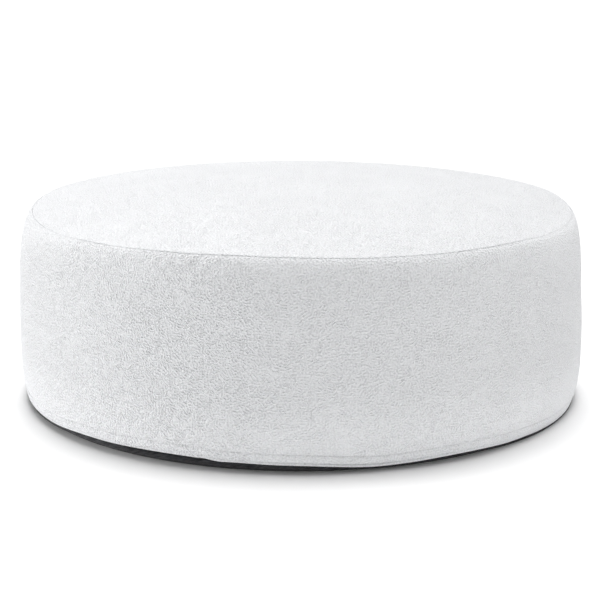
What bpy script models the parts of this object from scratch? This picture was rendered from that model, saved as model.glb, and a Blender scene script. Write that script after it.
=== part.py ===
"""Round ottoman: a filled round cushion in a dark casing, under a white cloth cover.

The cover has two pieces. The round top panel is crowned, and the side band runs
round the cushion. Their edges turn down together into the seam between them. The
band's lower edge is turned up inside in a hem, which stops short of the floor and
lets the casing show below it.

Angles are in degrees about Z: 0 is the front (-Y), 90 the right (+X) and -90 the
left. A line is a list of (radius, height) pairs in metres, and it is walked with
the outside of the ottoman on its left. The origin is on the floor, under the
middle of the ottoman.
"""

import math
from typing import NamedTuple

import bmesh
import bpy
from mathutils import Matrix

# Whole ottoman
HEIGHT = 0.370
WIDEST_RADIUS = 0.500
WIDEST_HEIGHT = 0.107

# Top panel and seam
SEAM_RADIUS = 0.4706
CROWN_POWER = 2.6
PANEL_ROLL = 0.004
SEAM_ALLOWANCE_END = 0.321
PANEL_RINGS = (0.0, 0.28, 0.52, 0.72, 0.88)

# Side band
SHOULDER_RADIUS = 0.4938
SHOULDER_DROP = 0.120
SHOULDER_TURNS = (14.0, 26.0, 38.0, 54.0, 90.0)
SIDE_STEPS = (0.5, 1.0)
DRAW_IN = 0.011
DRAW_IN_HEIGHT = 0.098
DRAW_IN_POWER = 3.6
LOWER_SIDE_HEIGHTS = (0.078, 0.056)
HEM_DEPTH = 0.019
HEM_STEP = 0.0012

# Cloth, gaps and casing
CLOTH = 0.0024
GAP = 0.0005
CASING_SLACK = 0.0008
CASING_DRAWN_IN_AT = 0.041
CASING_ROUND = 0.011

# Facets
SEGMENTS = 64
ROLL_STEPS = 3
ROUND_STEPS = 4
MERGE_DISTANCE = 0.00001
SHARP_ANGLE = 40.0


class Place(NamedTuple):
    """How the cover sits at one angle round the ottoman."""

    angle: float
    seam_height: float
    shoulder_out: float
    hem_height: float


# The seam wavers, the left shoulder is the fuller one, and the hem rides up at
# the front left and hangs lowest just right of the front.
PLACES = (
    Place(angle=-180.0, seam_height=0.335, shoulder_out=0.000, hem_height=0.011),
    Place(angle=-135.0, seam_height=0.337, shoulder_out=0.003, hem_height=0.010),
    Place(angle=-108.0, seam_height=0.337, shoulder_out=0.005, hem_height=0.011),
    Place(angle=-84.0, seam_height=0.333, shoulder_out=0.003, hem_height=0.010),
    Place(angle=-60.0, seam_height=0.331, shoulder_out=0.002, hem_height=0.012),
    Place(angle=-42.0, seam_height=0.333, shoulder_out=0.001, hem_height=0.016),
    Place(angle=-24.0, seam_height=0.336, shoulder_out=0.000, hem_height=0.019),
    Place(angle=-4.0, seam_height=0.337, shoulder_out=0.000, hem_height=0.014),
    Place(angle=15.0, seam_height=0.335, shoulder_out=0.000, hem_height=0.007),
    Place(angle=30.0, seam_height=0.334, shoulder_out=0.000, hem_height=0.010),
    Place(angle=60.0, seam_height=0.332, shoulder_out=0.001, hem_height=0.007),
    Place(angle=84.0, seam_height=0.332, shoulder_out=0.001, hem_height=0.007),
    Place(angle=108.0, seam_height=0.335, shoulder_out=0.003, hem_height=0.009),
    Place(angle=135.0, seam_height=0.335, shoulder_out=0.001, hem_height=0.010),
)


def eased(start, end, share):
    """A value between start and end, leaving one and reaching the other gently."""
    return start + (end - start) * share * share * (3.0 - 2.0 * share)


def place_at(angle):
    """The cover's place at any angle, eased between the two rows beside it."""
    rows = PLACES + (PLACES[0]._replace(angle=PLACES[0].angle + 360.0),)
    turned = (angle - rows[0].angle) % 360.0 + rows[0].angle
    for before, after in zip(rows, rows[1:]):
        if turned <= after.angle:
            share = (turned - before.angle) / (after.angle - before.angle)
            return Place(*(eased(a, b, share) for a, b in zip(before, after)))
    return rows[-1]


def crown_height(place, radius):
    """Height of the top panel's outer face."""
    rise = HEIGHT - place.seam_height
    return HEIGHT - rise * (radius / SEAM_RADIUS) ** CROWN_POWER


def crown_tilt(place, radius):
    """How far the top panel leans down towards its edge, in radians."""
    rise = HEIGHT - place.seam_height
    slope = rise * CROWN_POWER / SEAM_RADIUS * (radius / SEAM_RADIUS) ** (CROWN_POWER - 1.0)
    return math.atan(slope)


def rolled(centre_radius, centre_height, roll, lean_start, lean_end):
    """A round turn of the cloth, from one lean of its outer face to another."""
    leans = [lean_start + (lean_end - lean_start) * i / ROLL_STEPS for i in range(ROLL_STEPS + 1)]
    return [
        (centre_radius + roll * math.sin(lean), centre_height + roll * math.cos(lean))
        for lean in leans
    ]


def panel_line(place, allowance_end):
    """Outer face of the top panel, from its middle out and down into the seam."""
    line = [(share * SEAM_RADIUS, crown_height(place, share * SEAM_RADIUS)) for share in PANEL_RINGS]
    centre_radius = SEAM_RADIUS - GAP / 2 - PANEL_ROLL
    tilt = crown_tilt(place, centre_radius)
    start_height = crown_height(place, centre_radius + PANEL_ROLL * math.sin(tilt))
    centre_height = start_height - PANEL_ROLL * math.cos(tilt)
    line += rolled(centre_radius, centre_height, PANEL_ROLL, tilt, math.pi / 2)
    line.append((SEAM_RADIUS - GAP / 2, allowance_end))
    return line


def shoulder_point(place, turn):
    """A point on the band's shoulder: a quarter of an ellipse, turned in radians."""
    width = SHOULDER_RADIUS + place.shoulder_out - SEAM_RADIUS
    radius = SEAM_RADIUS + width * math.sin(turn)
    height = place.seam_height - SHOULDER_DROP * (1.0 - math.cos(turn))
    return radius, height


def upper_band_line(place, allowance_end):
    """Outer face of the band, from inside the seam over the shoulder to its widest."""
    width = SHOULDER_RADIUS + place.shoulder_out - SEAM_RADIUS
    turns = [math.radians(turn) for turn in SHOULDER_TURNS]
    lean = math.atan(SHOULDER_DROP / width * math.tan(turns[0]))
    roll = (width * math.sin(turns[0]) - GAP / 2) / (1.0 + math.sin(lean))
    centre_radius = SEAM_RADIUS + GAP / 2 + roll
    centre_height = shoulder_point(place, turns[0])[1] - roll * math.cos(lean)
    line = [(SEAM_RADIUS + GAP / 2, allowance_end)]
    line += rolled(centre_radius, centre_height, roll, -math.pi / 2, lean)
    line += [shoulder_point(place, turn) for turn in turns[1:]]
    start_radius, start_height = line[-1]
    for step in SIDE_STEPS:
        swell = (WIDEST_RADIUS - start_radius) * math.sin(step * math.pi / 2)
        line.append((start_radius + swell, start_height + (WIDEST_HEIGHT - start_height) * step))
    return line


def lower_side_radius(height):
    """Radius of the band's outer face below its widest place."""
    below = (WIDEST_HEIGHT - height) / DRAW_IN_HEIGHT
    return WIDEST_RADIUS - DRAW_IN * below**DRAW_IN_POWER


def lower_side(heights):
    """Outer face of the band at some heights below its widest place."""
    return [(lower_side_radius(height), height) for height in heights]


def inward(line, distance):
    """The line moved inward, so that each stretch stays parallel to its own."""
    moved = []
    for i, (radius, height) in enumerate(line):
        normals = []
        for start, end in ((i - 1, i), (i, i + 1)):
            if start < 0 or end >= len(line):
                continue
            across = line[end][0] - line[start][0]
            up = line[end][1] - line[start][1]
            length = math.hypot(across, up)
            normals.append((up / length, -across / length))
        mean = (sum(n[0] for n in normals), sum(n[1] for n in normals))
        scale = distance * len(normals) / (mean[0] ** 2 + mean[1] ** 2)
        if radius == 0.0:
            moved.append((0.0, height - distance))
        else:
            moved.append((radius + mean[0] * scale, height + mean[1] * scale))
    return moved


def cover_top_section(angle):
    """Section of the top panel at one angle, from its middle and back to it."""
    outer = panel_line(place_at(angle), SEAM_ALLOWANCE_END)
    return outer + inward(outer, CLOTH)[::-1]


def cover_band_section(angle):
    """Closed section of the side band at one angle, with its hem turned up inside."""
    place = place_at(angle)
    hem_top = place.hem_height + HEM_DEPTH
    fold_height = place.hem_height + CLOTH
    outer = upper_band_line(place, SEAM_ALLOWANCE_END)
    outer += lower_side(LOWER_SIDE_HEIGHTS + (hem_top, fold_height))
    single = inward(outer, CLOTH)
    double = inward(outer, 2 * CLOTH)
    fold = (single[-1][0], place.hem_height)
    hem_inside = [double[-1], double[-2]]
    hem_edge = (single[-2][0], single[-2][1] + HEM_STEP)
    return outer + [fold] + hem_inside + [hem_edge] + single[:-2][::-1]


def inner_cushion_section(angle):
    """Section of the cushion at one angle, from the top of its crown to its underside."""
    place = place_at(angle)
    groove_end = SEAM_ALLOWANCE_END - GAP
    top = inward(panel_line(place, groove_end), CLOTH + GAP)
    upper = upper_band_line(place, groove_end) + lower_side(LOWER_SIDE_HEIGHTS)
    side = inward(upper, CLOTH + GAP)
    under_hem = 2 * CLOTH + GAP + CASING_SLACK
    foot_radius = lower_side_radius(CASING_ROUND) - under_hem - CASING_ROUND
    drawn_in = (lower_side_radius(CASING_DRAWN_IN_AT) - under_hem, CASING_DRAWN_IN_AT)
    lower_edge = []
    for i in range(ROUND_STEPS + 1):
        turn = math.pi / 2 * i / ROUND_STEPS
        radius = foot_radius + CASING_ROUND * math.cos(turn)
        lower_edge.append((radius, CASING_ROUND * (1.0 - math.sin(turn))))
    underside_middle = (0.0, 0.0)
    return top + side + [drawn_in] + lower_edge + [underside_middle]


def spin_section(name, section, closed, material):
    """Makes one body by spinning its front section and shaping it at every angle."""
    mesh = bpy.data.meshes.new(name)
    bm = bmesh.new()
    station = bm.verts.layers.int.new("station")
    verts = []
    for number, (radius, height) in enumerate(section(0.0)):
        vert = bm.verts.new((0.0, -radius, height))
        vert[station] = number
        verts.append(vert)
    pairs = list(zip(verts, verts[1:]))
    if closed:
        pairs.append((verts[-1], verts[0]))
    edges = [bm.edges.new(pair) for pair in pairs]
    bmesh.ops.spin(
        bm,
        geom=verts + edges,
        cent=(0.0, 0.0, 0.0),
        axis=(0.0, 0.0, 1.0),
        dvec=(0.0, 0.0, 0.0),
        angle=math.tau,
        space=Matrix.Identity(4),
        steps=SEGMENTS,
        use_merge=True,
    )
    bmesh.ops.remove_doubles(bm, verts=bm.verts, dist=MERGE_DISTANCE)
    for vert in bm.verts:
        if math.hypot(vert.co.x, vert.co.y) < MERGE_DISTANCE:
            continue
        turn = math.atan2(vert.co.x, -vert.co.y)
        radius, height = section(math.degrees(turn))[vert[station]]
        vert.co = (radius * math.sin(turn), -radius * math.cos(turn), height)
    bmesh.ops.recalc_face_normals(bm, faces=bm.faces)
    bm.to_mesh(mesh)
    bm.free()
    mesh.materials.append(material)
    mesh.shade_smooth()
    mesh.set_sharp_from_angle(angle=math.radians(SHARP_ANGLE))
    body = bpy.data.objects.new(name, mesh)
    bpy.context.scene.collection.objects.link(body)
    return body


def cloth_material(name, colour, roughness):
    """A plain cloth: one colour, one roughness and no metal."""
    material = bpy.data.materials.new(name)
    material.use_nodes = True
    shader = material.node_tree.nodes["Principled BSDF"]
    shader.inputs["Base Color"].default_value = (*colour, 1.0)
    shader.inputs["Roughness"].default_value = roughness
    shader.inputs["Metallic"].default_value = 0.0
    material.diffuse_color = (*colour, 1.0)
    return material


def clear_scene():
    """Removes every object of the open file."""
    for old in list(bpy.data.objects):
        bpy.data.objects.remove(old, do_unlink=True)


def main():
    """Builds the cushion and the two pieces of its cover."""
    clear_scene()
    dark = cloth_material("casing_cloth", (0.035, 0.035, 0.038), 0.9)
    white_top = cloth_material("top_cloth", (0.86, 0.87, 0.88), 0.95)
    white_side = cloth_material("side_cloth", (0.84, 0.85, 0.86), 0.95)
    spin_section("inner_cushion", inner_cushion_section, False, dark)
    spin_section("cover_top", cover_top_section, False, white_top)
    spin_section("cover_band", cover_band_section, True, white_side)


main()
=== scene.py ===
"""Round ottoman, dressed: a white looped-pile cover over a dark filled cushion.

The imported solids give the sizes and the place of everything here. Two sheets of
looped-pile cloth stand for the cover: the round top panel, and the side band with
its stitched hem. The filled cushion in its dark casing stands inside them and
shows below the hem.

Angles are in degrees about Z: 0 is the front (-Y), 90 the right (+X) and -90 the
left. A line is a list of (radius, height) pairs in metres, and it is walked with
the outside of the ottoman on its left.
"""

from __future__ import annotations

import logging
import math
from dataclasses import astuple, dataclass, replace
from enum import Enum
from typing import Iterable

import bmesh
import bpy
from mathutils import Matrix, Vector, noise


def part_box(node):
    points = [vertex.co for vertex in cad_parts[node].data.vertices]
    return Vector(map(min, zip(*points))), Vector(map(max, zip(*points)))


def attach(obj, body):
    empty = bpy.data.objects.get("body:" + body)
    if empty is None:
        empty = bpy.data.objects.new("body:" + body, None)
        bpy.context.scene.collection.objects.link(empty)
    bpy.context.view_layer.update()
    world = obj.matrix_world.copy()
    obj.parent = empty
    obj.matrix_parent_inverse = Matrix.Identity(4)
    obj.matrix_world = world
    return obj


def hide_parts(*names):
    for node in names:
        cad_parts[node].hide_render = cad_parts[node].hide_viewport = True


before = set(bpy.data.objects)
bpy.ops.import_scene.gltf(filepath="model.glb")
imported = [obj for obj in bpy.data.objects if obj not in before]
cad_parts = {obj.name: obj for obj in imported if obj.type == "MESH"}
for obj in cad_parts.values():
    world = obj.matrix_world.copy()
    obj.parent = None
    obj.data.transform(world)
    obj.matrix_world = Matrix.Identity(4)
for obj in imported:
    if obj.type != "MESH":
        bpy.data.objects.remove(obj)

LOG = logging.getLogger("round_ottoman")
BODY = "root"
CLOTH_MAP = "cloth"
MERGE_DISTANCE = 1e-6
ROUNDING = 5e-7
# The pile is pressed flat and painted with crease shade from this row of a seam's roll, over so many rows.
PRESSED_AND_SHADED_START = 2
PRESSED_AND_SHADED_ROWS = 4

Mesh = bmesh.types.BMesh
Piece = bpy.types.Object
Material = bpy.types.Material
Socket = bpy.types.NodeSocket
Colour = tuple[float, float, float]
Point = tuple[float, float]
Line = list[Point]


class Slot(Enum):
    """Names of the finish slots that each piece is logged with."""

    COVER = "cover_cloth"
    CASING = "casing_cloth"


class Node(Enum):
    """Solids of the frame that the pieces stand for."""

    TOP = "cover_top"
    BAND = "cover_band"
    CUSHION = "inner_cushion"


class Held(Enum):
    """How a sheet of cloth is held."""

    STRETCHED = "stretched"


# Lines and forms


def eased(share: float) -> float:
    """Eases a share from 0 to 1, flat at both ends."""
    kept = min(1.0, max(0.0, share))
    return kept * kept * (3.0 - 2.0 * kept)


def bell(distance: float, width: float) -> float:
    """A soft bump, 1 at no distance and nearly 0 at twice the width."""
    return math.exp(-((distance / width) ** 2))


def off_angle(angle: float, middle: float) -> float:
    """Degrees from the middle to the angle, the short way round."""
    return (angle - middle + 180.0) % 360.0 - 180.0


def spot(angle: float, radius: float, height: float) -> Vector:
    """The point at an angle, radius and height."""
    turn = math.radians(angle)
    return Vector((radius * math.sin(turn), -radius * math.cos(turn), height))


def angle_of(point: Vector) -> float:
    """The angle that a point stands at."""
    return math.degrees(math.atan2(point.x, -point.y))


def way_out(start: Point, end: Point) -> Point:
    """The way out of the ottoman, of length 1, across a stretch of a line."""
    across, up = end[0] - start[0], end[1] - start[1]
    length = math.hypot(across, up)
    return -up / length, across / length


def outs(line: Line) -> list[Point]:
    """The way out of the ottoman at every point of a line."""
    return [way_out(line[max(0, i - 1)], line[min(len(line) - 1, i + 1)]) for i in range(len(line))]


def inward(line: Line, distance: float) -> Line:
    """Moves a line inward, so that each stretch stays parallel to its own.

    Args:
        line: The line.
        distance: How far it moves.

    Returns:
        The moved points, as many as came in.
    """
    moved = []
    for i, (radius, height) in enumerate(line):
        ways = [way_out(*line[j : j + 2]) for j in (i - 1, i) if 0 <= j < len(line) - 1]
        across, up = sum(way[0] for way in ways), sum(way[1] for way in ways)
        scale = distance * len(ways) / (across**2 + up**2)
        if radius == 0.0:
            moved.append((0.0, height - distance))
        else:
            moved.append((radius - across * scale, height - up * scale))
    return moved


def length_of(line: Line) -> float:
    """The distance along a line."""
    return sum(math.dist(start, end) for start, end in zip(line, line[1:]))


@dataclass(frozen=True)
class Place:
    """How the cover sits at one angle round the ottoman, in degrees and metres.

    The seam stands at seam_height, seam_out wider than its plain radius, and shows
    as a line by seam_open, from 0 to 1, which opens its groove and paints shade along
    it. The band's shoulder is fuller by shoulder_out, and the hem's lower edge hangs
    at hem_height.
    """

    angle: float
    seam_height: float
    seam_out: float
    seam_open: float
    shoulder_out: float
    hem_height: float

    def towards(self, other: "Place", share: float) -> "Place":
        """The place between this row and another, eased."""
        pairs = zip(astuple(self), astuple(other))
        return Place(*(mine + (theirs - mine) * eased(share) for mine, theirs in pairs))


# The seam wavers, the left shoulder is the fuller one, and the hem rides up at
# the front left and hangs lowest just right of the front.
PLACES = (
    # angle, seam height, seam out, seam open, shoulder out, hem height
    Place(-180.0, 0.3350, 0.000, 0.40, 0.0000, 0.0110),
    Place(-135.0, 0.3370, 0.001, 0.40, 0.0030, 0.0100),
    Place(-108.0, 0.3370, 0.001, 0.05, 0.0050, 0.0110),
    Place(-84.0, 0.3330, 0.001, 0.00, 0.0030, 0.0100),
    Place(-60.0, 0.3302, 0.000, 0.06, 0.0020, 0.0118),
    Place(-42.0, 0.3338, 0.000, 0.56, 0.0010, 0.0172),
    Place(-24.0, 0.3372, 0.000, 0.84, 0.0000, 0.0201),
    Place(-12.0, 0.3388, 0.000, 0.80, 0.0000, 0.0170),
    Place(-4.0, 0.3376, 0.000, 0.72, 0.0000, 0.0152),
    Place(15.0, 0.3342, 0.000, 0.66, 0.0000, 0.0082),
    Place(30.0, 0.3326, 0.001, 0.68, 0.0000, 0.0108),
    Place(45.0, 0.3328, 0.004, 0.56, 0.0000, 0.0068),
    Place(60.0, 0.3290, 0.005, 0.10, 0.0010, 0.0036),
    Place(84.0, 0.3280, 0.005, 0.00, 0.0015, 0.0045),
    Place(108.0, 0.3352, 0.003, 0.05, 0.0030, 0.0070),
    Place(135.0, 0.3350, 0.000, 0.40, 0.0010, 0.0100),
)


@dataclass(frozen=True)
class CoverForm:
    """Form that the cover's panels and the cushion share, in metres.

    Heights are those of the crown, of the seam allowances' end and of the band's
    widest place. The powers say how late the crown falls and the hem is drawn in.
    shoulder_start is where the shoulder's curve leaves the seam's roll, in degrees,
    where the seam is closed and where it is open. Pieces stand a gap apart, and the
    panels gap_closed apart where the seam presses them together.
    """

    height: float
    widest_radius: float
    seam_radius: float
    allowance_end: float
    widest_height: float = 0.107
    crown_power: float = 2.6
    shoulder_radius: float = 0.4938
    shoulder_drop: float = 0.120
    shoulder_start: tuple[float, float] = (2.2, 11.5)
    draw_in: float = 0.011
    draw_in_height: float = 0.098
    draw_in_power: float = 3.6
    cloth: float = 0.0024
    gap: float = 0.0005
    gap_closed: float = 0.00012

    @classmethod
    def from_frame(cls) -> "CoverForm":
        """Reads the driving sizes from the frame's solids.

        Returns:
            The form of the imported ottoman.
        """
        top_low, top_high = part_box(Node.TOP.value)
        _, band_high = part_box(Node.BAND.value)
        return cls(top_high[2], band_high[0], top_high[0] + cls.gap / 2, top_low[2])

    def place_at(self, angle: float) -> Place:
        """Finds how the cover sits at any angle.

        Args:
            angle: Degrees about Z.

        Returns:
            The place, eased between the two rows beside it.
        """
        first = PLACES[0]
        again = replace(first, angle=first.angle + 360.0)
        turned = (angle - first.angle) % 360.0 + first.angle
        for before, after in zip(PLACES, PLACES[1:] + (again,)):
            if turned <= after.angle:
                return before.towards(after, (turned - before.angle) / (after.angle - before.angle))
        return again

    def seam_at(self, place: Place) -> float:
        """Radius of the seam at a place."""
        return self.seam_radius + place.seam_out

    def opened(self, place: Place, closed: float, opened: float) -> float:
        """A size that goes with how open the seam is, between two sizes."""
        return closed + (opened - closed) * place.seam_open

    def half_gap(self, place: Place) -> float:
        """Half the room between the two panels in the seam."""
        return self.opened(place, self.gap_closed, self.gap) / 2

    def crown(self, place: Place, radius: float) -> float:
        """Height of the top panel's outer face at a radius."""
        rise = self.height - place.seam_height
        return self.height - rise * (radius / self.seam_at(place)) ** self.crown_power

    def crown_tilt(self, place: Place, radius: float) -> float:
        """How far the top panel leans down towards its edge, in radians."""
        steepest = (self.height - place.seam_height) * self.crown_power / self.seam_at(place)
        return math.atan(steepest * (radius / self.seam_at(place)) ** (self.crown_power - 1.0))

    def shoulder(self, place: Place, turn: float) -> Point:
        """A point of the shoulder, a quarter of an ellipse, turned in radians."""
        width = self.shoulder_radius + place.shoulder_out - self.seam_at(place)
        radius = self.seam_at(place) + width * math.sin(turn)
        return radius, place.seam_height - self.shoulder_drop * (1.0 - math.cos(turn))

    def waist(self, side: Line, steps: int) -> Line:
        """Carries a line from under its shoulder on down to the widest place.

        Args:
            side: The line so far.
            steps: Number of points to add.

        Returns:
            The added points.
        """
        radius, height = side[-1]
        added = []
        for i in range(1, steps + 1):
            share = i / steps
            swell = (self.widest_radius - radius) * math.sin(share * math.pi / 2)
            added.append((radius + swell, height + (self.widest_height - height) * share))
        return added

    def lower_radius(self, height: float) -> float:
        """Radius of the band's outer face below its widest place."""
        below = max(0.0, self.widest_height - height) / self.draw_in_height
        return self.widest_radius - self.draw_in * below**self.draw_in_power


def rolled(centre: Point, roll: float, lean_start: float, lean_end: float, steps: int) -> Line:
    """A round turn of the cloth, from one lean of its outer face to another.

    Args:
        centre: Radius and height of the turn's middle.
        roll: Radius of the turn.
        lean_start: Lean at its start, in radians from straight up.
        lean_end: Lean at its end.
        steps: Number of stretches in it.

    Returns:
        The points of the turn, both ends among them.
    """
    leans = [lean_start + (lean_end - lean_start) * i / steps for i in range(steps + 1)]
    return [(centre[0] + roll * math.sin(lean), centre[1] + roll * math.cos(lean)) for lean in leans]


# How the cloth lies


@dataclass(frozen=True)
class Puckers:
    """Short soft folds that run off a seam, slanting as they go.

    They rise by rise, spacing apart along the seam, come up over start and die away
    over reach. They are strongest at the middle angle, and the share everywhere is
    left beyond the spread.
    """

    rise: float
    spacing: float
    reach: float
    slant: float
    middle: float
    spread: float
    everywhere: float
    start: float = 0.006

    def at(self, angle: float, radius: float, run: float) -> float:
        """Finds how far the folds lift the cloth.

        Args:
            angle: Degrees about Z.
            radius: Radius that the distance along the seam is taken at.
            run: Distance from the seam.

        Returns:
            The lift in metres, below 0 in a trough.
        """
        fade = eased(run / self.start) * math.exp(-run / self.reach)
        near = bell(off_angle(angle, self.middle), self.spread)
        strength = self.everywhere + (1.0 - self.everywhere) * near
        turn = (math.radians(angle) * radius + self.slant * run) / radius
        ring = math.tau * radius / self.spacing
        there = Vector((math.cos(turn), math.sin(turn), 0.0)) * ring / math.tau
        fold = noise.noise(there + Vector((0.0, 0.0, run / (2.5 * self.spacing))))
        return self.rise * strength * fade * fold * 2.0


@dataclass(frozen=True)
class Relief:
    """How the stretched pile cloth rises and falls from its plain form.

    Small lumps lie all over, and broad swells of the filling come up away from the
    seam, over settled_from. The seed shifts the lumps, so that two panels differ.
    """

    lump_size: float = 0.010
    lump_rise: float = 0.00010
    swell_size: float = 0.13
    swell_rise: float = 0.0009
    settled_from: float = 0.02
    puckers: tuple[Puckers, ...] = ()
    seed: float = 0.0

    def at(self, point: Vector, angle: float, radius: float, run: float) -> float:
        """Finds how far the outer face stands off its plain form.

        Args:
            point: The plain form's point.
            angle: Its angle.
            radius: Radius of the seam.
            run: Distance from the seam.

        Returns:
            The lift in metres.
        """
        shifted = point + Vector((self.seed, self.seed, self.seed))
        lumps = noise.noise(shifted / self.lump_size)
        lumps += 0.5 * noise.noise(shifted / (2.7 * self.lump_size))
        swell = noise.noise(shifted / self.swell_size)
        settled = eased(run / self.settled_from)
        folds = sum(pucker.at(angle, radius, run) for pucker in self.puckers)
        return lumps * self.lump_rise + swell * self.swell_rise * settled + folds


# Folds where the seam is drawn tight, on both sides of it.
TOP_FOLDS = Puckers(
    rise=0.0006, spacing=0.016, reach=0.014, slant=0.6, middle=-58.0, spread=22.0, everywhere=0.15
)
BAND_FOLDS = Puckers(
    rise=0.0026, spacing=0.010, reach=0.015, slant=1.1, middle=-28.0, spread=18.0, everywhere=0.10
)


# Meshes and pieces


def wrapped(sections: list[list[Vector]], closed: bool) -> Mesh:
    """Wraps a flat grid round the ottoman, one column to each section.

    Args:
        sections: The points of each section, in order round the ottoman.
        closed: Whether a section's end joins its start.

    Returns:
        A mesh whose "column" and "row" layers number its points.
    """
    columns = len(sections)
    rows = len(sections[0])
    spans = rows if closed else rows - 1
    bm = bmesh.new()
    column = bm.verts.layers.int.new("column")
    row = bm.verts.layers.int.new("row")
    bmesh.ops.create_grid(bm, x_segments=columns, y_segments=spans, size=0.5)
    for vert in bm.verts:
        vert[column] = round((vert.co.x + 0.5) * columns) % columns
        vert[row] = round((vert.co.y + 0.5) * spans) % rows
        vert.co = sections[vert[column]][vert[row]]
    bmesh.ops.remove_doubles(bm, verts=bm.verts, dist=MERGE_DISTANCE)
    return bm


def mark(bm: Mesh, name: str, values: list[list[float]]) -> None:
    """Gives each point of a wrapped mesh a value, by its column and row."""
    column = bm.verts.layers.int["column"]
    row = bm.verts.layers.int["row"]
    layer = bm.verts.layers.float.new(name)
    for vert in bm.verts:
        vert[layer] = values[vert[column]][vert[row]]


def lay_strip_map(bm: Mesh, columns: int, width: float, runs: list[list[float]]) -> None:
    """Gives a wrapped closed strip the flat map of its cloth, in metres.

    Args:
        bm: The wrapped mesh.
        columns: Number of its columns.
        width: Length of the strip before it was joined.
        runs: Distance up the cloth of each row, and back to the first, in each column.
    """
    column = bm.verts.layers.int["column"]
    row = bm.verts.layers.int["row"]
    cloth = bm.loops.layers.uv.new(CLOTH_MAP)
    for face in bm.faces:
        at = [(vert[column], vert[row]) for vert in face.verts]
        over = max(c for c, _ in at) - min(c for c, _ in at) > 1
        round_edge = max(r for _, r in at) - min(r for _, r in at) > 1
        for loop, (c, r) in zip(face.loops, at):
            across = columns if over and c == 0 else c
            up = len(runs[c]) - 1 if round_edge and r == 0 else r
            loop[cloth].uv = (width * across / columns, runs[c][up])


def angles_round(columns: int) -> list[float]:
    """Even angles all the way round, starting at the back."""
    return [360.0 * i / columns - 180.0 for i in range(columns)]


def repeated(shape: Mesh, count: int, step: float) -> Mesh:
    """Repeats a shape along X with an array.

    Args:
        shape: The shape, which is freed.
        count: How many there are.
        step: Distance from one to the next.

    Returns:
        All of them in one mesh.
    """
    mesh = bpy.data.meshes.new("repeated")
    shape.to_mesh(mesh)
    shape.free()
    holder = bpy.data.objects.new("repeated", mesh)
    bpy.context.scene.collection.objects.link(holder)
    array = holder.modifiers.new("row", "ARRAY")
    array.use_relative_offset = False
    array.use_constant_offset = True
    array.constant_offset_displace = (step, 0.0, 0.0)
    array.count = count
    graph = bpy.context.evaluated_depsgraph_get()
    row = bmesh.new()
    row.from_mesh(holder.evaluated_get(graph).data)
    bpy.data.objects.remove(holder, do_unlink=True)
    return row


def finish_mesh(name: str, bm: Mesh, material: Material) -> Piece:
    """Turns a mesh's faces outward and makes it a smooth object.

    Args:
        name: Name of the piece.
        bm: The mesh, which is freed.
        material: Its finish.

    Returns:
        The object, in the scene.
    """
    bmesh.ops.recalc_face_normals(bm, faces=bm.faces)
    mesh = bpy.data.meshes.new(name)
    bm.to_mesh(mesh)
    bm.free()
    mesh.shade_smooth()
    mesh.materials.append(material)
    piece = bpy.data.objects.new(name, mesh)
    bpy.context.scene.collection.objects.link(piece)
    return piece


def seat(piece: Piece, slot: Slot, node: Node | None = None) -> None:
    """Rides a piece on the ottoman, hides the solid that it stands for and logs its faces.

    Args:
        piece: The finished piece.
        slot: Slot named for its finish, which is only written to the log.
        node: Solid that it stands for, if it stands for one.
    """
    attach(piece, BODY)
    if node is not None:
        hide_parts(node.value)
    faces = len(piece.data.polygons)
    LOG.info("%s: %d faces, %s", piece.name, faces, slot.value)


# Shader nodes


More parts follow.
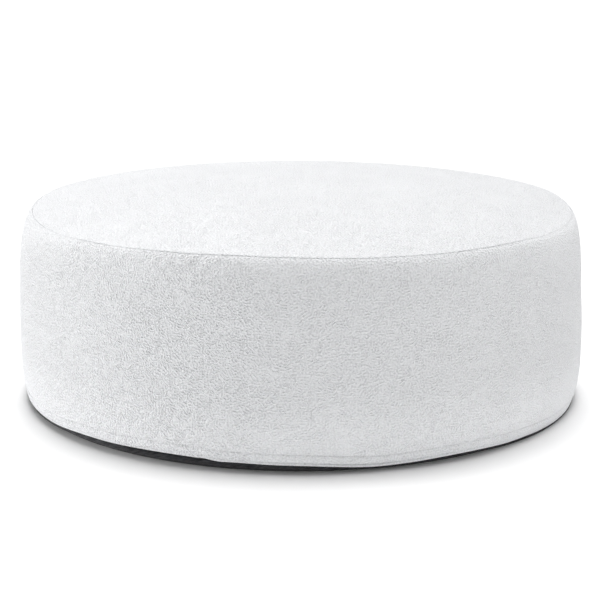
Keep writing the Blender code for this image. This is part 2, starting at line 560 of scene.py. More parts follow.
class Tree:
    """Lays shader nodes in one tree and joins them."""

    def __init__(self, tree: bpy.types.NodeTree) -> None:
        """Starts with an open tree."""
        self.tree = tree

    def feed(self, sockets: bpy.types.NodeInputs, feeds: dict) -> None:
        """Gives sockets a value, a colour or what another node puts out.

        Args:
            sockets: The inputs of a node, or the sockets of one by name.
            feeds: A value, a colour of three parts or an output socket for each, by name.
        """
        for key, value in feeds.items():
            socket = sockets[key]
            if isinstance(value, Socket):
                self.tree.links.new(value, socket)
            elif socket.type == "RGBA":
                socket.default_value = (*value, 1.0)
            else:
                socket.default_value = value

    def place(self, kind: str, feeds: dict | None = None, **settings: object) -> bpy.types.Node:
        """Adds a node.

        Args:
            kind: Type of the node, without the word that all shader nodes start with.
            feeds: What each of its inputs gets, by name.
            **settings: The node's own settings.

        Returns:
            The node.
        """
        made = self.tree.nodes.new(kind if kind.startswith("Node") else "ShaderNode" + kind)
        for name, value in settings.items():
            setattr(made, name, value)
        self.feed(made.inputs, feeds or {})
        return made

    def maths(self, operation: str, *values: object) -> Socket:
        """Adds one step of arithmetic and returns its result."""
        return self.place("Math", dict(enumerate(values)), operation=operation).outputs[0]

    def times(self, first: object, second: object) -> Socket:
        """Multiplies two values and returns the result."""
        return self.maths("MULTIPLY", first, second)

    def noise(self, at: object, scale: object, detail: float = 2.0, **feeds: object) -> Socket:
        """Adds soft noise and returns its value."""
        feeds = {"Vector": at, "Scale": scale, "Detail": detail, **feeds}
        return self.place("TexNoise", feeds).outputs[0]

    def vectors(self, operation: str, first: object, second: object) -> Socket:
        """Adds one step of vector arithmetic and returns its result."""
        other = "Scale" if operation == "SCALE" else 1
        return self.place("VectorMath", {0: first, other: second}, operation=operation).outputs[0]

    def ramp(self, value: object, low: float, high: float, start: float = 0.0, end: float = 1.0) -> object:
        """Maps a value smoothly from low to high on to start to end, and returns it."""
        feeds = {"Value": value, "From Min": low, "From Max": high, "To Min": start, "To Max": end}
        return self.place("MapRange", feeds, interpolation_type="SMOOTHSTEP").outputs[0]

    def mixed(self, factor: object, first: object, second: object) -> Socket:
        """Mixes two colours and returns the result."""
        node = self.place("Mix", data_type="RGBA")
        named = {socket.identifier: socket for socket in node.inputs}
        self.feed(named, {"Factor_Float": factor, "A_Color": first, "B_Color": second})
        return next(socket for socket in node.outputs if socket.identifier == "Result_Color")

    def bump(self, height: object, rise: float, strength: float = 1.0, **feeds: object) -> object:
        """Adds a bump and returns its normal."""
        feeds = {"Strength": strength, "Distance": rise, "Height": height, **feeds}
        return self.place("Bump", feeds).outputs[0]


def open_group(name: str, inputs: dict[str, float | None], outputs: Iterable[str]) -> tuple:
    """Opens a new shader node group with its sockets.

    Args:
        name: Name of the group.
        inputs: Each input's default, or None where it is a vector.
        outputs: Names of the outputs, all values.

    Returns:
        The group, its tree helper, its input's outputs and its output's inputs.
    """
    group = bpy.data.node_groups.new(name, "ShaderNodeTree")
    for label, default in inputs.items():
        kind = "NodeSocketVector" if default is None else "NodeSocketFloat"
        socket = group.interface.new_socket(label, in_out="INPUT", socket_type=kind)
        if default is not None:
            socket.default_value = default
    for label in outputs:
        group.interface.new_socket(label, in_out="OUTPUT", socket_type="NodeSocketFloat")
    tree = Tree(group)
    return group, tree, tree.place("NodeGroupInput").outputs, tree.place("NodeGroupOutput").inputs


def looped_pile_group() -> bpy.types.NodeTree:
    """Builds the group that lays short curly loops of yarn over a cloth.

    Returns:
        The group. Its Height and Hollow go from 0 to 1, and Drift wanders slowly. Hollow is
        high between the loops, where the cloth paints their shade.
    """
    inputs = {"Vector": None, "Loop Size": 0.005, "Curl": 0.4, "Pressed": 0.0}
    group, tree, given, made = open_group("looped_pile", inputs, ("Height", "Hollow", "Drift"))
    here = given["Vector"]
    size = given["Loop Size"]
    per_loop = tree.maths("DIVIDE", 1.0, size)
    wander = {"Vector": here, "Scale": tree.times(per_loop, 0.5), "Detail": 0.0}
    wandered = tree.place("TexNoise", wander).outputs["Color"]
    push = tree.times(tree.times(size, given["Curl"]), 2.4)
    pushed = tree.vectors("SCALE", tree.vectors("SUBTRACT", wandered, (0.5, 0.5, 0.5)), push)
    yarn = {
        "Vector": tree.vectors("ADD", here, pushed),
        "Scale": tree.times(per_loop, 0.55),
        "Frequency": 1.8,
        "Anisotropy": 0.0,
    }
    curls = tree.place("TexGabor", yarn, gabor_type="2D").outputs["Value"]
    loops = tree.times(tree.ramp(curls, 0.15, 0.85), 0.68)
    fibres = tree.times(tree.ramp(tree.noise(here, tree.times(per_loop, 1.7), 0.0), 0.25, 0.75), 0.32)
    full = tree.maths("ADD", loops, fibres)
    kept = tree.maths("SUBTRACT", 1.0, tree.times(given["Pressed"], 0.75))
    hollow_shade = tree.ramp(full, 0.15, 0.75, 1.0, 0.0)
    tree.feed(made, {"Height": tree.times(full, kept), "Hollow": hollow_shade, "Drift": tree.noise(here, 9.0)})
    return group


def plain_weave_group() -> bpy.types.NodeTree:
    """Builds the group that crosses two sets of threads over and under.

    Returns:
        The group. Its Height and Between go from 0 to 1; Between marks the gaps, where
        the casing paints shade.
    """
    inputs = {"Vector": None, "Thread": 0.0009, "Unevenness": 0.3}
    group, tree, given, made = open_group("plain_weave", inputs, ("Height", "Between"))
    here = given["Vector"]
    per_thread = tree.maths("DIVIDE", math.pi, given["Thread"])
    extra = tree.times(tree.noise(here, 300.0), given["Unevenness"])
    apart = tree.place("SeparateXYZ", {"Vector": here}).outputs
    warp, weft = (
        tree.maths("SINE", tree.maths("ADD", tree.times(apart[way], per_thread), extra))
        for way in ("X", "Y")
    )
    over = tree.times(warp, weft)
    round_warp = tree.times(tree.maths("ABSOLUTE", warp), tree.ramp(over, -0.3, 0.3))
    round_weft = tree.times(tree.maths("ABSOLUTE", weft), tree.ramp(over, -0.3, 0.3, 1.0, 0.0))
    height = tree.maths("ADD", round_warp, round_weft)
    tree.feed(made, {"Height": height, "Between": tree.ramp(height, 0.05, 0.5, 1.0, 0.0)})
    return group


def open_material(name: str) -> tuple[Material, Tree, bpy.types.NodeInputs]:
    """Opens a new material.

    Args:
        name: Name of the finish.

    Returns:
        The material, its tree helper and its Principled shader's inputs.
    """
    material = bpy.data.materials.new(name)
    material.use_nodes = True
    shader = material.node_tree.nodes["Principled BSDF"]
    return material, Tree(material.node_tree), shader.inputs


@dataclass(frozen=True)
class PileCloth:
    """Finish of the white looped-pile cloth.

    Loops are raised on top. The hollows between them are painted darker as shade,
    and darker still, as crease shade with some dust, where stitches or a seam press
    them flat; worn patches are darker by that share. Towards the hem the colour is
    painted lighter, as light bounced up from the floor. On the left and on the right
    the pile stands higher or lower than its rise, by two shares, and the painted shade
    in its hollows is deeper or weaker by the same shares, round an even hollow that
    keeps its colour, as if lit at a grazing angle from the left. back_join shows the
    line where the strip's ends are joined, pressed and painted with crease shade.
    """

    name: str
    raised: Colour = (0.810, 0.816, 0.832)
    hollow_shade: Colour = (0.655, 0.66, 0.675)
    crease_shade_and_dust: Colour = (0.54, 0.545, 0.555)
    worn: float = 0.02
    loop_size: float = 0.0047
    loop_rise: float = 0.0023
    curl: float = 0.2
    sheen: float = 0.25
    even_hollow_shade: float = 0.47
    back_join: bool = False
    join_width: tuple[float, float] = (0.0004, 0.0022)
    painted_bounce_light: float = 0.0
    painted_bounce_heights: tuple[float, float] = (0.01, 0.14)
    pile_and_shade_by_side: tuple[float, float] = (1.0, 1.0)
    pile_and_shade_by_side_places: tuple[float, float] = (-0.20, 0.0)

    def material(self, pile: bpy.types.NodeTree) -> Material:
        """Lays the pile over a soft cloth shader.

        Args:
            pile: The looped pile's node group.

        Returns:
            The material. It reads the piece's attribute that marks where the pile is pressed
            flat and painted with crease shade.
        """
        material, tree, shader = open_material(self.name)
        here = tree.place("TexCoord").outputs["Object"]
        place = tree.place("SeparateXYZ", {"Vector": here}).outputs
        pressed_and_shaded = tree.place("Attribute", attribute_name="pressed_and_shaded").outputs["Fac"]
        if self.back_join:
            line = tree.ramp(tree.maths("ABSOLUTE", place["X"]), *self.join_width, 1.0, 0.0)
            line = tree.times(line, tree.maths("GREATER_THAN", place["Y"], 0.0))
            pressed_and_shaded = tree.maths("MAXIMUM", pressed_and_shaded, line)
        cloth = tree.place("UVMap", uv_map=CLOTH_MAP).outputs[0]
        laid = {"Vector": cloth, "Loop Size": self.loop_size, "Curl": self.curl, "Pressed": pressed_and_shaded}
        loops = tree.place("Group", laid, node_tree=pile).outputs
        # Pile height and the painted shade in its hollows grow on the left and shrink on the right, as if
        # the left were lit at a grazing angle.
        pile_and_shade_by_side = tree.ramp(place["X"], *self.pile_and_shade_by_side_places, *self.pile_and_shade_by_side)
        uneven = tree.maths("SUBTRACT", loops["Hollow"], self.even_hollow_shade)
        hollow_shading = tree.maths("MULTIPLY_ADD", uneven, pile_and_shade_by_side, self.even_hollow_shade)
        # Painted shade: the hollows between the loops are coloured darker.
        shade = tree.mixed(hollow_shading, self.raised, self.hollow_shade)
        worn = tuple(part * (1.0 - self.worn) for part in self.raised)
        patchy = tree.mixed(tree.ramp(loops["Drift"], 0.35, 0.75, 0.0, 0.5), shade, worn)
        # Painted light: the colour grows lighter towards the hem, as light bounced up from the floor.
        painted_bounce_light = tree.ramp(place["Z"], *self.painted_bounce_heights, 1.0 + self.painted_bounce_light, 1.0)
        height = tree.times(loops["Height"], pile_and_shade_by_side)
        feeds = {
            # Painted shade, with some dust, where stitches, the seam and the back join press the pile.
            "Base Color": tree.mixed(pressed_and_shaded, tree.vectors("SCALE", patchy, painted_bounce_light), self.crease_shade_and_dust),
            "Roughness": tree.ramp(loops["Height"], 0.0, 1.0, 1.0, 0.86),
            "Normal": tree.bump(height, self.loop_rise),
            "Specular IOR Level": 0.15,
            "Sheen Weight": self.sheen,
            "Sheen Roughness": 0.45,
        }
        tree.feed(shader, feeds)
        return material


@dataclass(frozen=True)
class CasingCloth:
    """Finish of the dark woven casing.

    Threads are raised on top, with painted shade in the gaps between them and dust
    in patches. Gathers of gather_size, leaning by gather_slant, run off its base seam,
    with painted shade in their troughs.
    """

    name: str
    raised: Colour = (0.050, 0.050, 0.054)
    between_shade: Colour = (0.010, 0.010, 0.012)
    dusty: Colour = (0.067, 0.067, 0.0722)
    thread: float = 0.0011
    gather_size: tuple[float, float] = (1 / 60, 1 / 420)
    gather_slant: float = 0.30
    gather_rise: float = 0.0018

    def material(self, weave: bpy.types.NodeTree) -> Material:
        """Lays the weave and the slanting gathers over a dark cloth shader.

        Args:
            weave: The plain weave's node group.

        Returns:
            The material. It reads the piece's own UV map, in metres, and the
            "gathered" attribute.
        """
        material, tree, shader = open_material(self.name)
        flat = tree.place("UVMap", uv_map=CLOTH_MAP).outputs[0]
        threads = tree.place("Group", {"Vector": flat, "Thread": self.thread}, node_tree=weave).outputs
        gathered = tree.place("Attribute", attribute_name="gathered").outputs["Fac"]
        slant = (0.0, 0.0, self.gather_slant)
        turned = {"Vector": flat, "Rotation": slant, "Scale": (*self.gather_size, 1.0)}
        slanted = tree.place("Mapping", turned, vector_type="TEXTURE").outputs[0]
        folds = tree.noise(slanted, 1.0, 1.0, Roughness=0.4)
        fine = tree.bump(threads["Height"], 0.0003, 0.6)
        # Painted shade in the troughs of the gathers near the base seam.
        trough_shade = tree.times(tree.ramp(folds, 0.42, 0.58, 0.75, 0.0), gathered)
        # Painted shade in the gaps between the threads.
        shade = tree.mixed(threads["Between"], self.raised, self.between_shade)
        shade = tree.mixed(trough_shade, shade, self.between_shade)
        dust = tree.ramp(tree.noise(flat, 40.0, 4.0), 0.45, 0.75, 0.0, 0.6)
        feeds = {
            "Base Color": tree.mixed(dust, shade, self.dusty),
            "Roughness": tree.ramp(threads["Height"], 0.0, 1.0, 0.9, 0.7),
            "Normal": tree.bump(tree.times(folds, gathered), self.gather_rise, Normal=fine),
            "Sheen Weight": 0.08,
            "Sheen Roughness": 0.4,
            "Specular IOR Level": 0.3,
        }
        tree.feed(shader, feeds)
        return material


@dataclass(frozen=True)
class Thread:
    """Finish of sewing thread, rougher and painted darker, as shade, in the hollows of its twist."""

    name: str
    colour: Colour
    roughness: tuple[float, float] = (0.7, 0.6)

    def material(self) -> Material:
        """Winds a fine twist over a plain thread shader.

        Returns:
            The material.
        """
        material, tree, shader = open_material(self.name)
        twist = tree.noise(tree.place("TexCoord").outputs["Object"], 2200.0, 1.0)
        # Painted shade in the hollows of the twist.
        twist_shade = tuple(part * 0.8 for part in self.colour)
        feeds = {
            "Base Color": tree.mixed(tree.ramp(twist, 0.3, 0.7), twist_shade, self.colour),
            "Roughness": tree.ramp(twist, 0.2, 0.8, *self.roughness),
            "Normal": tree.bump(twist, 0.0002, 0.5),
        }
        tree.feed(shader, feeds)
        return material


# The cover


@dataclass
class TopPanel:
    """The cover's round top panel, crowned, its edge turned down into the seam.

    A fine lattice of that many divisions makes the crown. The roll has one radius
    where the seam is closed and one where it is open, and inner_rings are the hidden
    inner face's, as shares of the seam's radius.
    """

    form: CoverForm
    relief: Relief
    divisions: int = 128
    roll: tuple[float, float] = (0.0005, 0.0050)
    roll_rows: int = 7
    allowance_rows: int = 3
    inner_rings: tuple[float, ...] = (0.0, 0.28, 0.52, 0.72, 0.88)

    def rim_start(self, place: Place) -> tuple[float, float, float]:
        """Finds where the crown turns into the roll.

        Args:
            place: How the cover sits there.

        Returns:
            Radius of that place, the panel's tilt there, and the roll's middle radius.
        """
        roll = self.form.opened(place, *self.roll)
        middle = self.form.seam_at(place) - self.form.half_gap(place) - roll
        tilt = self.form.crown_tilt(place, middle)
        return middle + roll * math.sin(tilt), tilt, middle

    def section(self, place: Place) -> Line:
        """Follows the cloth round its edge: down the roll, and back along the inner face.

        Args:
            place: How the cover sits there.

        Returns:
            The line, from the start of the roll to the middle.
        """
        form = self.form
        start, tilt, middle = self.rim_start(place)
        roll = form.opened(place, *self.roll)
        centre = (middle, form.crown(place, start) - roll * math.cos(tilt))
        rim = rolled(centre, roll, tilt, math.pi / 2, self.roll_rows)
        side_radius, side_start = rim[-1]
        for i in range(1, self.allowance_rows + 1):
            share = i / self.allowance_rows
            rim.append((side_radius, side_start + (form.allowance_end - side_start) * share))
        rings = [share * form.seam_at(place) for share in self.inner_rings]
        crown = [(radius, form.crown(place, radius)) for radius in rings]
        return rim + inward(crown + rim, form.cloth)[::-1]

    def lattice(self) -> Mesh:
        """Makes an even disc of radius 1 from six finely divided triangles.

        Returns:
            The flat disc.
        """
        bm = bmesh.new()
        bmesh.ops.create_circle(bm, cap_ends=True, cap_tris=True, segments=6, radius=1.0)
        bmesh.ops.subdivide_edges(bm, edges=bm.edges, cuts=self.divisions - 1, use_grid_fill=True)
        half = math.pi / 6
        for vert in bm.verts:
            reach = math.hypot(vert.co.x, vert.co.y)
            if reach < MERGE_DISTANCE:
                continue
            turn = angle_of(vert.co)
            sector = math.floor(turn / 60.0 + ROUNDING)
            off = math.radians(turn - sector * 60.0 - 30.0)
            even = 60.0 * (sector + 0.5 + math.tan(off) / (2.0 * math.tan(half)))
            vert.co = spot(even, reach * math.cos(off) / math.cos(half), 0.0)
        return bm

    def build(self, material: Material) -> Piece:
        """Builds the panel: crown, rolled rim, seam allowance and inner face.

        Args:
            material: Finish of the cloth.

        Returns:
            The piece.
        """
        bm = self.lattice()
        bm.verts.layers.float.new("pressed_and_shaded")
        flat = bm.verts.layers.float_vector.new("flat")
        edge = [e for e in bm.edges if e.is_boundary]
        for vert in bm.verts:
            share = math.hypot(vert.co.x, vert.co.y)
            angle = angle_of(vert.co)
            place = self.form.place_at(angle)
            radius = share * self.rim_start(place)[0]
            tilt = self.form.crown_tilt(place, radius)
            point = spot(angle, radius, self.form.crown(place, radius))
            vert[flat] = spot(angle, radius, 0.0)
            run = self.form.seam_at(place) - radius
            lift = self.relief.at(point, angle, self.form.seam_radius, run)
            vert.co = point + spot(angle, math.sin(tilt), math.cos(tilt)) * lift
        self.extend(bm, edge)
        bmesh.ops.remove_doubles(bm, verts=bm.verts, dist=MERGE_DISTANCE)
        cloth = bm.loops.layers.uv.new(CLOTH_MAP)
        for face in bm.faces:
            for loop in face.loops:
                loop[cloth].uv = loop.vert[flat].xy
        bm.verts.layers.float_vector.remove(flat)
        return finish_mesh("top_panel", bm, material)

    def extend(self, bm: Mesh, edge: list) -> None:
        """Extrudes the rim row by row, down the roll and back along the inner face.

        Args:
            bm: The mesh so far.
            edge: The rim's edges.
        """
        pressed_and_shaded = bm.verts.layers.float["pressed_and_shaded"]
        flat = bm.verts.layers.float_vector["flat"]
        outer_rows = self.roll_rows + self.allowance_rows
        sections = {}
        for row in range(1, 2 * outer_rows + len(self.inner_rings) + 2):
            made = bmesh.ops.extrude_edge_only(bm, edges=edge)["geom"]
            edge = [item for item in made if isinstance(item, bmesh.types.BMEdge)]
            for vert in made:
                if not isinstance(vert, bmesh.types.BMVert):
                    continue
                angle = angle_of(vert.co)
                place = self.form.place_at(angle)
                key = round(angle, 3)
                if key not in sections:
                    sections[key] = self.section(place)
                line = sections[key]
                point = spot(angle, *line[row])
                vert[flat] = spot(angle, line[0][0] + length_of(line[: row + 1]), 0.0)
                if row <= outer_rows:
                    out = outs(line[: outer_rows + 1])[row]
                    kept = 1.0 - row / outer_rows
                    lift = self.relief.at(point, angle, self.form.seam_radius, 0.0) * kept
                    point += spot(angle, *out) * lift
                    # The seam's roll is pressed and painted with crease shade where the seam shows open.
                    vert[pressed_and_shaded] = eased((row - PRESSED_AND_SHADED_START) / PRESSED_AND_SHADED_ROWS) * place.seam_open
                vert.co = point


@dataclass
class SideBand:
    """The cover's side band, one strip joined into a ring, with its turned-up hem.

    The hem is hem_depth deep, ends in a hem_step and is stitched at stitch_height,
    where the stitches draw the cloth in by stitch_dip, over stitch_width, press its
    pile flat and paint crease shade on it by the share stitch_press_and_shade. A
    second row, at edge_stitch_height, shows most at the shown angle, by its spread
    and least share, and presses and shades the pile by edge_stitch_press_and_shade.
    Rows of the mesh are closest beside both, at the rows given above and below.
    Round the front the lower wall hangs straight, an angle and its spread, straighter
    by that share, with a flare at the edge. The cloth is full at the edge (height,
    width, rise) and between the stitches (width, rise). The edge wavers (rise, number
    of waves) and has jogs (angle, spread, rise).
    """

    form: CoverForm
    relief: Relief
    segments: int = 704
    row: float = 0.0037
    roll_rows: int = 7
    allowance_rows: int = 3
    hem_depth: float = 0.019
    hem_step: float = 0.0012
    hem_zone: float = 0.026
    stitch_height: float = 0.0178
    stitch_dip: float = 0.0009
    stitch_width: float = 0.0012
    stitch_press_and_shade: float = 0.25
    edge_stitch_height: float = 0.0045
    edge_stitch_dip: float = 0.0014
    edge_stitch_width: float = 0.0009
    edge_stitch_press_and_shade: float = 0.85
    stitch_rows: tuple[float, ...] = (
        0.0056, 0.0036, 0.0022, 0.0012, 0.0004, -0.0004, -0.0012, -0.0022, -0.0040, -0.0062,
    )
    edge_stitch_rows: tuple[float, ...] = (
        0.0052, 0.0036, 0.0022, 0.0012, 0.0004, -0.0004, -0.0012, -0.0022,
    )
    fold_rows: int = 6
    fold_drop: float = 0.0011
    waist_length: float = 0.108
    wall_length: float = 0.067
    straight: tuple[float, float] = (-8.0, 52.0)
    straighter: float = 0.3
    flare: float = 0.0025
    shown: tuple[float, float, float] = (10.0, 15.0, 0.25)
    edge_full: tuple[float, float, float] = (0.0014, 0.0024, 0.0011)
    hem_full: tuple[float, float] = (0.0055, 0.0007)
    waver: tuple[float, float] = (0.0006, 7.0)
    jogs: tuple[tuple[float, float, float], ...] = ((-17.6, 1.0, 0.0011), (-14.8, 1.4, -0.00088))

    def hem_rows(self) -> list[float]:
        """Heights of the fine rows above the edge, closest at the two lines of stitches."""
        rows = [self.stitch_height + off for off in self.stitch_rows]
        rows += [self.edge_stitch_height + off for off in self.edge_stitch_rows]
        return [self.hem_zone, *rows]

    def wall_radius(self, angle: float, height: float, hem: float) -> float:
        """Finds the lower wall, which hangs straighter round the front.

        Args:
            angle: Degrees about Z.
            height: Height of the point.
            hem: Height of the hem's edge there.

        Returns:
            The plain outer face's radius.
        """
        form = self.form
        middle, spread = self.straight
        front = bell(off_angle(angle, middle), spread)
        drawn = form.widest_radius - form.lower_radius(height)
        flare = max(0.0, 1.0 - (height - hem) / self.stitch_height)
        return form.widest_radius - drawn * (1.0 - self.straighter * front) + self.flare * flare * front

    def edge_shown(self, angle: float) -> float:
        """How far the edge is rolled out, so that its stitches show."""
        middle, spread, least = self.shown
        return least + (1.0 - least) * bell(off_angle(angle, middle), spread)

    def hem_height(self, angle: float, place: Place) -> float:
        """Height of the hem's edge, with its small unevenness.

        Args:
            angle: Degrees about Z.
            place: How the cover sits there.

        Returns:
            The height in metres.
        """
        rise, waves = self.waver
        waver = noise.noise(spot(angle + 90.0, 1.0, 0.0) * waves) * rise
        steps = (rise * bell(off_angle(angle, at), spread) for at, spread, rise in self.jogs)
        return place.hem_height + waver + sum(steps)

    def outer_face(self, angle: float) -> Line:
        """Outer face from the allowance's end, over the shoulder, down to the hem.

        Args:
            angle: Degrees about Z.

        Returns:
            The line, ending where the fold starts.
        """
        form = self.form
        place = form.place_at(angle)
        width = form.shoulder_radius + place.shoulder_out - form.seam_at(place)
        start = math.radians(form.opened(place, *form.shoulder_start))
        lean = math.atan(form.shoulder_drop / width * math.tan(start))
        roll = (width * math.sin(start) - form.half_gap(place)) / (1.0 + math.sin(lean))
        centre = (
            form.seam_at(place) + form.half_gap(place) + roll,
            form.shoulder(place, start)[1] - roll * math.cos(lean),
        )
        low = form.allowance_end
        steps = self.allowance_rows
        line = [(centre[0] - roll, low + (centre[1] - low) * i / steps) for i in range(steps)]
        line += rolled(centre, roll, -math.pi / 2, lean, self.roll_rows)
        count = round(form.shoulder_drop / self.row)
        first = 1.0 - math.cos(start)
        for i in range(1, count + 1):
            drop = first + (1.0 - first) * i / count
            line.append(form.shoulder(place, math.acos(1.0 - drop)))
        line += form.waist(line, round(self.waist_length / self.row))
        hem = self.hem_height(angle, place)
        fall = hem + self.hem_zone - form.widest_height
        count = round(self.wall_length / self.row)
        heights = [form.widest_height + fall * i / count for i in range(1, count)]
        heights += [hem + above for above in self.hem_rows()] + [hem + self.fold_drop]
        return line + [(self.wall_radius(angle, height, hem), height) for height in heights]

    def section(self, angle: float) -> tuple[Line, int]:
        """Closed section of the band, with its hem turned up inside.

        Args:
            angle: Degrees about Z.

        Returns:
            The line, and the number of its points on the outer face.
        """
        cloth = self.form.cloth
        outer = self.outer_face(angle)
        single = inward(outer, cloth)
        double = inward(outer, 2 * cloth)
        end_radius, end_height = outer[-1]
        fold = rolled((end_radius - cloth, end_height), cloth, math.pi / 2, 3 * math.pi / 2, self.fold_rows)
        flat = self.fold_drop / cloth
        fold = [(radius, end_height + (height - end_height) * flat) for radius, height in fold[1:]]
        hem_end = end_height - self.fold_drop + self.hem_depth
        hem_top = next(i for i, (_, height) in enumerate(outer) if height <= hem_end)
        beside_edge_stitches = double[-7]
        step = (single[hem_top][0], single[hem_top][1] + self.hem_step)
        kept = [*range(hem_top - 3, self.roll_rows + self.allowance_rows, -5)]
        kept += [self.allowance_rows + 4, self.allowance_rows, 0]
        inside = [beside_edge_stitches, double[hem_top], step, *(single[i] for i in kept)]
        return outer + fold + inside, len(outer)

    def lift(self, angle: float, point: Point, run: float) -> tuple[float, float]:
        """Finds how the cloth lies and is pressed at a point of the outer face.

        Args:
            angle: Degrees about Z.
            point: Radius and height there.
            run: Distance from the seam.

        Returns:
            The lift in metres, and how much the pile is pressed and painted with crease shade, 0 to 1.
        """
        above = point[1] - self.hem_height(angle, self.form.place_at(angle))
        shown = self.edge_shown(angle)
        stitch = bell(above - self.stitch_height, self.stitch_width)
        edge = bell(above - self.edge_stitch_height, self.edge_stitch_width) * shown
        height, width, rise = self.edge_full
        full = bell(above - height, width) * rise * (0.55 + 0.45 * shown)
        width, rise = self.hem_full
        full += bell(above - 0.5 * (self.stitch_height + self.edge_stitch_height), width) * rise
        lies = self.relief.at(spot(angle, *point), angle, self.form.seam_radius, run)
        lies += full - stitch * self.stitch_dip - edge * self.edge_stitch_dip
        return lies, min(1.0, self.stitch_press_and_shade * stitch + self.edge_stitch_press_and_shade * edge)

    def face_at(self, angle: float, above: float) -> Point:
        """The outer face's radius and height at a height above the hem's edge."""
        hem = self.hem_height(angle, self.form.place_at(angle))
        return self.wall_radius(angle, hem + above, hem), hem + above

    def shaped(self, angle: float) -> tuple[list[Vector], list[float]]:
        """Finds the band's section as the cloth really lies.

        Args:
            angle: Degrees about Z.

        Returns:
            The section's points, and how much the pile is pressed and painted with crease shade at each.
        """
        place = self.form.place_at(angle)
        line, outer_count = self.section(angle)
        outer = line[:outer_count]
        points = [spot(angle, *point) for point in line]
        pressed_and_shaded = [0.0] * len(line)
        for number, (way, run) in enumerate(zip(outs(outer), self.runs(outer))):
            rise, flat = self.lift(angle, outer[number], max(0.0, run))
            settled = eased((number - 1) / (self.allowance_rows + 2))
            points[number] += spot(angle, *way) * (rise * settled)
            seam = eased(1.0 - (number - self.allowance_rows - PRESSED_AND_SHADED_START) / PRESSED_AND_SHADED_ROWS)
            # By the seam's roll and the stitches the pile is pressed and painted with crease shade.
            pressed_and_shaded[number] = max(flat, seam * place.seam_open)
        for row in range(self.fold_rows):
            kept = 1.0 - (row + 1) / self.fold_rows
            points[outer_count + row] += spot(angle, 1.0, 0.0) * (rise * kept)
        return points, pressed_and_shaded

    def build(self, material: Material) -> Piece:
        """Builds the band by wrapping its sections round the ottoman.

        Args:
            material: Finish of the cloth.

        Returns:
            The piece.
        """
        angles = angles_round(self.segments)
        shaped = [self.shaped(angle) for angle in angles]
        bm = wrapped([points for points, _ in shaped], True)
        mark(bm, "pressed_and_shaded", [flats for _, flats in shaped])
        runs = [self.runs([*line, line[0]]) for line in (self.section(a)[0] for a in angles)]
        lay_strip_map(bm, self.segments, math.tau * self.form.shoulder_radius, runs)
        return finish_mesh("side_band", bm, material)

    def runs(self, line: Line) -> list[float]:
        """Distances along a line of the section from the top of the seam's roll."""
        start = self.allowance_rows + self.roll_rows
        total = [0.0]
        for before, after in zip(line, line[1:]):
            total.append(total[-1] + math.dist(before, after))
        return [run - total[start] for run in total]


@dataclass
class StitchRow:
    """A row of short stitches round the hem, sunk into the band above its edge."""

    name: str
    band: SideBand
    above: float
    sunk: float
    pitch: float = 0.0036
    length: float = 0.0027
    thick: float = 0.0007

    def build(self, material: Material) -> Piece:
        """Builds one stitch, turns it round the ottoman and sets it on the hem.

        Args:
            material: Finish of the thread.

        Returns:
            The piece.
        """
        base, _ = self.band.face_at(0.0, self.above)
        count = round(math.tau * base / self.pitch)
        stitch = bmesh.new()
        half = (self.thick / 2, self.thick / 2, self.length / 2, 1.0)
        laid = Matrix.Rotation(math.pi / 2, 4, "Y") @ Matrix.Diagonal(half)
        bmesh.ops.create_uvsphere(stitch, u_segments=6, v_segments=5, radius=1.0, matrix=laid)
        bm = repeated(stitch, count, self.pitch)
        for vert in bm.verts:
            angle = 360.0 * vert.co.x / (count * self.pitch)
            radius, height = self.band.face_at(angle, self.above)
            vert.co = spot(angle, radius - self.sunk - vert.co.y, height + vert.co.z)
        return finish_mesh(self.name, bm, material)


